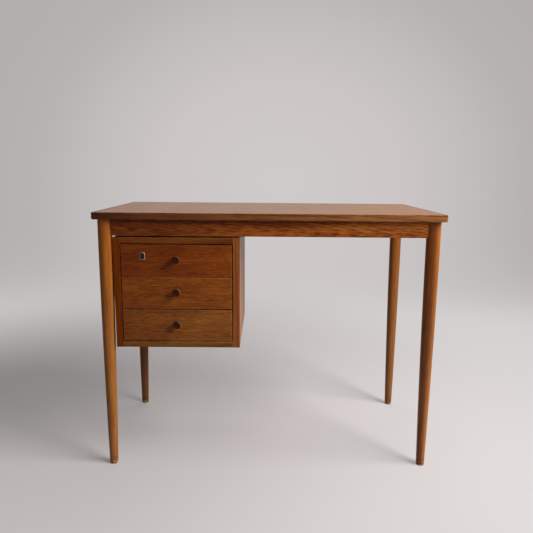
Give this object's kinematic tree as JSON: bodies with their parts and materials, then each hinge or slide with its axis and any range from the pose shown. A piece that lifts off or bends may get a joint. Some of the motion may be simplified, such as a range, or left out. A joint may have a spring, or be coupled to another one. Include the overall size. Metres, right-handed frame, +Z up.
{
  "type": "writing desk with drawers",
  "caption": "Small teak writing desk with a lipped rectangular top, round tapered legs, an apron frame and a hanging case of drawers with turned knobs and a lock.",
  "frame": {"origin": "middle of the footprint on the floor", "axes": "+X to the sitter's right along the longest side, -Y towards the sitter, +Z up"},
  "size_m": [0.95, 0.5, 0.74],
  "materials": {
    "teak_top_veneer": "oiled veneer, worn satin",
    "teak_lipping": "oiled solid wood, satin",
    "teak_leg": "turned and oiled, satin",
    "teak_apron": "oiled veneer, satin",
    "teak_case": "oiled veneer, satin",
    "teak_drawer_front": "oiled veneer, satin",
    "teak_knob": "turned and oiled, satin",
    "beech": "planed, unfinished",
    "beech_drawer_box": "planed, waxed",
    "plywood": "sanded, unfinished",
    "steel_screw": "zinc plated",
    "steel_lock": "plain sheet steel",
    "brass_bolt": "sawn and filed",
    "nickel_escutcheon": "nickel plated, dulled"
  },
  "bodies": {
    "desk": {"top_core": "teak_top_veneer", "top_lipping_front": "teak_lipping", "top_lipping_back": "teak_lipping", "top_lipping_left": "teak_lipping", "top_lipping_right": "teak_lipping", "leg_front_left": "teak_leg", "leg_front_right": "teak_leg", "leg_back_left": "teak_leg", "leg_back_right": "teak_leg", "apron_front": "teak_apron", "apron_back": "teak_apron", "apron_left": "teak_apron", "apron_right": "teak_apron", "corner_block_front_left": "beech", "corner_block_front_right": "beech", "corner_block_back_left": "beech", "corner_block_back_right": "beech", "hanger_rail_left": "beech", "hanger_rail_right": "beech", "hanger_spacers": "beech", "case_dowels": "beech", "runner_1_left": "beech", "runner_1_right": "beech", "runner_2_left": "beech", "runner_2_right": "beech", "runner_3_left": "beech", "runner_3_right": "beech", "top_screws": "steel_screw", "leg_bolts": "steel_screw", "hanger_screws": "steel_screw", "runner_screws": "steel_screw", "case_side_left": "teak_case", "case_side_right": "teak_case", "case_top": "teak_case", "case_bottom": "teak_case", "case_back": "plywood"},
    "drawer_1": {"drawer_1_screws": "steel_screw", "drawer_1_bottom": "plywood", "drawer_1_front": "teak_drawer_front", "drawer_1_side_left": "beech_drawer_box", "drawer_1_side_right": "beech_drawer_box", "drawer_1_back": "beech_drawer_box", "drawer_1_knob": "teak_knob", "lock_case": "steel_lock", "escutcheon": "nickel_escutcheon"},
    "drawer_2": {"drawer_2_screws": "steel_screw", "drawer_2_bottom": "plywood", "drawer_2_front": "teak_drawer_front", "drawer_2_side_left": "beech_drawer_box", "drawer_2_side_right": "beech_drawer_box", "drawer_2_back": "beech_drawer_box", "drawer_2_knob": "teak_knob"},
    "drawer_3": {"drawer_3_screws": "steel_screw", "drawer_3_bottom": "plywood", "drawer_3_front": "teak_drawer_front", "drawer_3_side_left": "beech_drawer_box", "drawer_3_side_right": "beech_drawer_box", "drawer_3_back": "beech_drawer_box", "drawer_3_knob": "teak_knob"},
    "lock_bolt": {"lock_bolt": "brass_bolt"}
  },
  "joints": [
    {"name": "drawer_1_slide", "type": "slide", "parent": "desk", "child": "drawer_1", "axis": [0, -1, 0], "range_m": [0, 0.27]},
    {"name": "drawer_2_slide", "type": "slide", "parent": "desk", "child": "drawer_2", "axis": [0, -1, 0], "range_m": [0, 0.27]},
    {"name": "drawer_3_slide", "type": "slide", "parent": "desk", "child": "drawer_3", "axis": [0, -1, 0], "range_m": [0, 0.27]},
    {"name": "lock_bolt_slide", "type": "slide", "parent": "drawer_1", "child": "lock_bolt", "axis": [0, 0, 1], "range_m": [0, 0.008]}
  ]
}
